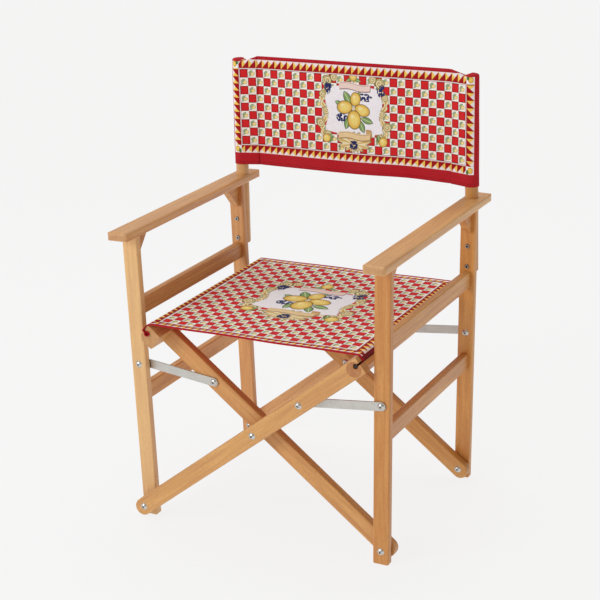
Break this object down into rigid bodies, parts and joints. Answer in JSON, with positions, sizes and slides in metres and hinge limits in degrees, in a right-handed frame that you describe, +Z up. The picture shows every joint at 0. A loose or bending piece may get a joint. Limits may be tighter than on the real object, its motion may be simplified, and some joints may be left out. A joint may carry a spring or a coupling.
{
  "type": "director chair",
  "caption": "Folding wooden director chair with crossed legs, flat armrests, a canvas seat hung between two rails and a canvas back sleeved on round posts.",
  "frame": {"origin": "centre of the footprint on the floor, midway between the armrests' outer faces and their ends", "axes": "+Z up, +X to the right of someone facing the chair, the chair faces -Y"},
  "size_m": [0.5834, 0.5346, 0.869],
  "materials": {
    "beech": "satin clear varnish on beech",
    "stay_metal": "brushed along the length",
    "fastener_steel": "bright zinc plate",
    "seat_canvas": "printed canvas in red and cream squares with a lemon panel",
    "back_canvas": "printed canvas with plain red sleeves and lower band",
    "hem_rod": "matt black"
  },
  "bodies": {
    "left_frame": {"left_front_leg": "beech", "left_rear_leg": "beech", "left_armrest": "beech", "left_upper_rail": "beech", "left_lower_rail": "beech", "left_front_brace": "beech", "left_rear_brace": "beech", "left_arm_dowels": "beech", "left_back_post": "beech", "left_post_bolts": "fastener_steel", "left_pivot_bolts": "fastener_steel", "left_pivot_nuts": "fastener_steel", "left_pivot_washers": "fastener_steel", "left_stay_bolts": "fastener_steel", "left_stay_nuts": "fastener_steel", "left_back_sleeve": "back_canvas", "back_panel": "back_canvas"},
    "outer_legs": {"outer_front_leg": "beech", "outer_rear_leg": "beech", "right_seat_rail": "beech", "crossing_bolts": "fastener_steel", "crossing_nuts": "fastener_steel", "crossing_bushes": "fastener_steel", "outer_stay_screw": "fastener_steel", "outer_stay_insert": "fastener_steel", "right_hem_rod": "hem_rod", "seat_canvas": "seat_canvas"},
    "inner_legs": {"inner_front_leg": "beech", "inner_rear_leg": "beech", "left_seat_rail": "beech", "inner_stay_screw": "fastener_steel", "inner_stay_insert": "fastener_steel", "left_hem_rod": "hem_rod"},
    "right_frame": {"right_front_leg": "beech", "right_rear_leg": "beech", "right_armrest": "beech", "right_upper_rail": "beech", "right_lower_rail": "beech", "right_front_brace": "beech", "right_rear_brace": "beech", "right_arm_dowels": "beech", "right_back_post": "beech", "right_post_bolts": "fastener_steel", "right_pivot_bolts": "fastener_steel", "right_pivot_nuts": "fastener_steel", "right_pivot_washers": "fastener_steel", "right_stay_bolts": "fastener_steel", "right_stay_nuts": "fastener_steel", "right_back_sleeve": "back_canvas"},
    "left_stays": {"left_front_stay": "stay_metal", "left_rear_stay": "stay_metal", "left_stay_screw": "fastener_steel"},
    "right_stays": {"right_front_stay": "stay_metal", "right_rear_stay": "stay_metal", "right_stay_screw": "fastener_steel"}
  },
  "joints": [
    {"name": "fold", "type": "hinge", "parent": "left_frame", "child": "outer_legs", "pos_m": [-0.2588, 0, 0.0265], "axis": [0, -1, 0], "range_deg": [0, 36.8], "deforming": ["seat_canvas", "back_panel", "left_back_sleeve", "right_back_sleeve"]},
    {"name": "crossing", "type": "hinge", "parent": "outer_legs", "child": "inner_legs", "pos_m": [0, 0, 0.2295], "axis": [0, -1, 0], "range_deg": [-80.97, 0]},
    {"name": "right_pivot", "type": "hinge", "parent": "inner_legs", "child": "right_frame", "pos_m": [0.2588, 0, 0.0265], "axis": [0, -1, 0], "range_deg": [0, 36.81]},
    {"name": "left_stay_pivot", "type": "hinge", "parent": "left_frame", "child": "left_stays", "pos_m": [-0.26407, 0, 0.32845], "axis": [0, -1, 0], "range_deg": [0, 69.68]},
    {"name": "right_stay_pivot", "type": "hinge", "parent": "right_frame", "child": "right_stays", "pos_m": [0.26407, 0, 0.32845], "axis": [0, -1, 0], "range_deg": [-69.68, 0]}
  ],
  "couplings": [
    {"joint": "crossing", "follows": "fold", "ratio": -2.2},
    {"joint": "right_pivot", "follows": "fold", "ratio": 1},
    {"joint": "left_stay_pivot", "follows": "fold", "ratio": 1.8931},
    {"joint": "right_stay_pivot", "follows": "fold", "ratio": -1.8931}
  ]
}
